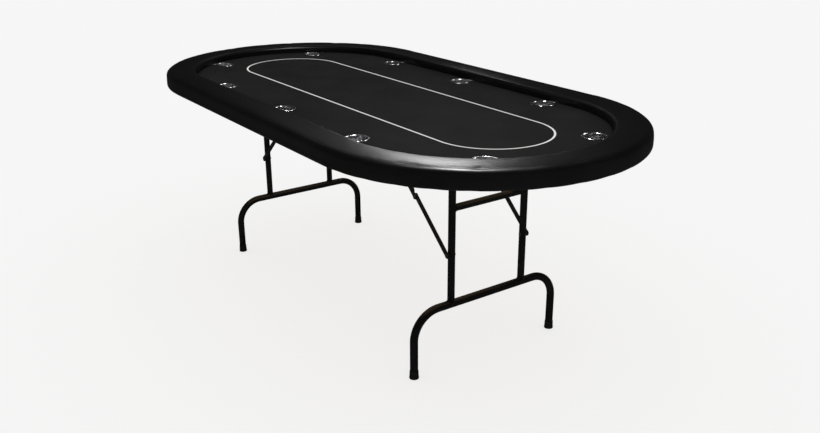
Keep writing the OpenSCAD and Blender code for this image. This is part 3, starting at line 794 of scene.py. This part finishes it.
def rivets():
    """Rivets at the braces' elbows, posts and brackets."""
    for end in ENDS:
        post_lo, post_hi = span(end + "_post_rear")
        link_lo, link_hi = span("lower_link_%s_rear" % end)
        x, _, z = middle_of(end + "_brace_rivets")
        shape = rivet(post_lo[1], link_hi[1] + 0.1 * MM,
                      washer=(post_hi[1], link_lo[1] - 0.1 * MM))
        place(grid_object(end + "_post_rivets",
                          [lathe(shape, (x, 0, z), (0, sy, 0), 28) for sy in (-1, 1)]),
              end + "_leg_frame", ZINC, "fastener_steel", end + "_brace_rivets")
    top = []
    for end in ENDS:
        for side, sy in SIDES.items():
            name = "%s_%s" % (end, side)
            lo, hi = span("elbow_rivet_" + name)
            ys = sorted(abs(v) for v in (lo[1], hi[1]))
            shape = rivet(ys[0] + 1.5 * MM, ys[1] - 1.5 * MM)
            centre = ((lo[0] + hi[0]) / 2, 0, (lo[2] + hi[2]) / 2)
            place(grid_object("elbow_rivet_domed_" + name, [lathe(shape, centre, (0, sy, 0), 28)]),
                  "upper_link_%s_body" % name, ZINC, "fastener_steel", "elbow_rivet_" + name)
            lo, hi = span("brace_bracket_" + name)
            pivot_z = middle_of(end + "_pivot_tube")[2]
            ear = min(abs(lo[1]), abs(hi[1]))
            link_face = min(abs(corner[1]) for corner in span("upper_link_" + name))
            shape = rivet(link_face - 0.1 * MM, ear + 2.5 * MM)
            top.append(lathe(shape, ((lo[0] + hi[0]) / 2, 0, pivot_z), (0, sy, 0), 28))
    place(grid_object("bracket_rivets_domed", top), "table_top", ZINC, "fastener_steel",
          "brace_bracket_rivets")


def screw_head(x, y, z, turn):
    """A pan head seen from below with a cross pressed into it: its height over a polar grid is a
    low dome, less a cross of constant depth where either turned coordinate is near zero."""
    head_r, head_h = 4 * MM, 2.4 * MM
    r = head_r * np.array([0, 0.12, 0.24, 0.36, 0.48, 0.6, 0.75, 0.88, 0.96, 1.0])[None, :]
    a = (np.arange(40) * TAU / 40)[:, None]
    dome = head_h * (1 - 0.55 * (r / head_r) ** 4)
    px, py = r * np.cos(a), r * np.sin(a)
    arm = np.minimum(np.abs(px), np.abs(py))
    near_arm = np.clip((0.62 * MM - arm) / (0.25 * MM), 0, 1)
    cross = near_arm * np.clip((2.6 * MM - r) / (0.4 * MM), 0, 1)
    depth = dome - 1.3 * MM * cross
    top = np.stack([x + r * np.cos(a + turn), y + r * np.sin(a + turn), z - depth], -1)
    back = np.stack([x + head_r * np.cos(a + turn), y + head_r * np.sin(a + turn),
                     np.full_like(a, z)], -1)
    centre = np.broadcast_to(np.array([x, y, z]), (40, 1, 3))
    return np.concatenate([top, back, centre], 1)


def bracket_hardware():
    """Brackets and brace links with rounded edges, and the screws that hold the brackets to the
    base board."""
    pivot_screws, brace_screws = [], []
    order = 0
    for end in ENDS:
        for side, sy in SIDES.items():
            name = "%s_%s" % (end, side)
            for part in ("pivot_bracket_", "brace_bracket_"):
                softened(part + name, part + "pressed_" + name, 0.5 * MM, "table_top",
                         BRACKET_PAINT, "bracket_steel")
            for part in ("upper_link_", "lower_link_"):
                softened(part + name, part + "flat_bar_" + name, 0.5 * MM,
                         part + name + "_body", LINK_PAINT, "black_link")
            lo, hi = span("pivot_bracket_" + name)
            centre, z = (lo + hi) / 2, board_lo[2] - 2.5 * MM
            for i in (-1, 1):
                for j in (-1, 1):
                    order += 1
                    pivot_screws.append(screw_head(centre[0] + i * 36 * MM, centre[1] + j * 8 * MM,
                                                   z, order * 0.7))
            lo, hi = span("brace_bracket_" + name)
            ear = min(abs(lo[1]), abs(hi[1]))
            for i in (-1, 1):
                order += 1
                brace_screws.append(screw_head((lo[0] + hi[0]) / 2 + i * 14 * MM,
                                               sy * (ear + 20 * MM), z, order * 0.7))
    place(grid_object("pivot_bracket_screw_heads", pivot_screws), "table_top", ZINC,
          "fastener_steel", "pivot_bracket_screws")
    place(grid_object("brace_bracket_screw_heads", brace_screws), "table_top", ZINC,
          "fastener_steel", "brace_bracket_screws")


def hem_staples():
    """Wire staples along the rail's hem: a short square bar bent down at both ends, the same
    shape set at each station of the oval, each turned a little its own way."""
    count = 132
    x, a = oval_frame(count, HALF_W)
    rng = np.random.default_rng(5)
    r = HALF_W - 33 * MM + rng.normal(0, 0.8 * MM, count)
    turn = a + math.pi / 2 + rng.normal(0, 0.12, count)
    run = np.array([[-5.2, 1.2], [-5.2, 0.3], [-4.6, -0.3], [4.6, -0.3], [5.2, 0.3],
                    [5.2, 1.2]]) * MM
    wire_w, wire_t = 0.6 * MM, 0.25 * MM
    square = np.array([[-1, -1], [1, -1], [1, 1], [-1, 1]])
    section = run[:, None, :] + np.stack([0 * square[:, 1], square[:, 1] * wire_t], 1)[None]
    across = np.broadcast_to(square[:, 0] * wire_w, section.shape[:2])
    closed = np.concatenate([section[:1].mean(1, keepdims=True).repeat(4, 1), section,
                             section[-1:].mean(1, keepdims=True).repeat(4, 1)])
    across = np.concatenate([across[:1] * 0, across, across[-1:] * 0])
    along, lift = closed[..., 0], closed[..., 1]
    grids = []
    for k in range(count):
        c, s = math.cos(turn[k]), math.sin(turn[k])
        px = x[k] + r[k] * math.cos(a[k]) + along * c - across * s
        py = r[k] * math.sin(a[k]) + along * s + across * c
        grids.append(np.stack([px, py, rail_lo[2] + lift - 0.1 * MM], -1).transpose(1, 0, 2))
    place(grid_object("hem_staples", grids), "table_top", STAPLE, "fastener_steel")


# ---------- carried-over CAD nodes ----------

def finish_cad_nodes():
    """Materials for the nodes that keep their own shape."""
    kept = {"playfield_board": FIBREBOARD, "playfield_foam": FOAM, "playfield_foam_strips": FOAM,
            "rail_ring": PLYWOOD}
    for name, material in kept.items():
        mesh = frame["nodes"][name].data
        mesh.materials.clear()
        mesh.materials.append(material)


# ---------- floor and light ----------

def emptied(owner):
    """The node tree of a material or a world, with nothing in it."""
    owner.use_nodes = True
    owner.node_tree.nodes.clear()
    return owner.node_tree


def by_ray(tree, seen, mirrored, output):
    """Shows one shader to the eye and a dimmer one to glossy rays."""
    path = tree.nodes.new("ShaderNodeLightPath")
    mix = put(tree, "ShaderNodeMixShader", {
        0: path.outputs["Is Glossy Ray"], 1: seen.outputs[0], 2: mirrored.outputs[0]})
    out = tree.nodes.new(output)
    tree.links.new(mix.outputs[0], out.inputs["Surface"])


def make_floor():
    """A wide pale floor that partly glows, so that it meets the surround without an edge."""
    half = 30.0
    corners = np.array([[-half, -half, 0], [half, -half, 0], [half, half, 0], [-half, half, 0]])
    floor = mesh_object("floor", corners, np.array([[0, 1, 2, 3]]), False)
    made = bpy.data.materials.new("floor")
    tree = emptied(made)
    pale = put(tree, "ShaderNodeBsdfDiffuse", {"Color": (0.9, 0.9, 0.9, 1)})
    glow = put(tree, "ShaderNodeEmission", {"Color": (1, 1, 1, 1), "Strength": 0.93})
    seen = put(tree, "ShaderNodeMixShader", {0: 0.78, 1: pale.outputs[0], 2: glow.outputs[0]})
    dark = put(tree, "ShaderNodeBsdfDiffuse", {"Color": (*grey(0.012), 1)})
    by_ray(tree, seen, dark, "ShaderNodeOutputMaterial")
    floor.data.materials.append(made)


def make_surround():
    """White all round, and nearly black in reflections."""
    world = bpy.data.worlds.new("surround")
    bpy.context.scene.world = world
    tree = emptied(world)
    pale, dim = (put(tree, "ShaderNodeBackground", {"Color": (1, 1, 1, 1), "Strength": strength})
                 for strength in (1.0, 0.022))
    by_ray(tree, pale, dim, "ShaderNodeOutputWorld")


def soft_box(name, place_at, aim, width, length, power, only=(), spread_deg=180):
    """A rectangular light that shows in glossy surfaces alone. It can be kept to a few pieces."""
    light = bpy.data.lights.new(name, "AREA")
    light.shape = "RECTANGLE"
    light.size, light.size_y, light.energy = width, length, power
    light.spread = math.radians(spread_deg)
    obj = bpy.data.objects.new(name, light)
    bpy.context.collection.objects.link(obj)
    obj.location = place_at
    obj.visible_diffuse = False
    obj.rotation_euler = (Vector(aim) - Vector(place_at)).to_track_quat("-Z", "Y").to_euler()
    if only:
        lit = bpy.data.collections.new(name + "_lights_only")
        for piece in only:
            lit.objects.link(piece)
        obj.light_linking.receiver_collection = lit


def make_lights():
    """A box over the near end, a narrow one low beyond the table for the rail's highlight, a weak
    fill, and one for the steel cups only."""
    soft_box("over_the_near_end", (0.36, -0.02, 2.54), (0.87, -0.41, 0.768), 0.32, 0.55, 30)
    soft_box("low_beyond_the_table", (-1.42, 1.32, 1.80), (0.90, -0.42, 0.768), 0.45, 0.5, 0.08,
             spread_deg=17)
    soft_box("far_fill", (-2.6, 1.6, 2.6), (-0.3, 0, 0.75), 1.6, 1.0, 1.0)
    steel = [o for o in bpy.data.objects if o.name.endswith("_pressed")]
    soft_box("steel_rear", (1.9, 2.7, 2.1), (0, 0, 0.74), 1.2, 2.0, 60, steel)


def main():
    padded_rail()
    playing_cloth()
    cup_holders()
    for end in ENDS:
        leg_frame(end)
    rivets()
    bracket_hardware()
    hem_staples()
    softened("base_board", "base_board_eased", 0.8 * MM, "table_top", PLYWOOD, "plywood")
    softened("base_edge_boards", "base_edge_boards_eased", 0.8 * MM, "table_top", PLYWOOD,
             "plywood")
    softened("rail_bolts", "rail_bolts_eased", 0.4 * MM, "table_top", ZINC, "fastener_steel")
    finish_cad_nodes()
    make_floor()
    make_surround()
    make_lights()
    bpy.context.scene.view_settings.view_transform = "Standard"


main()
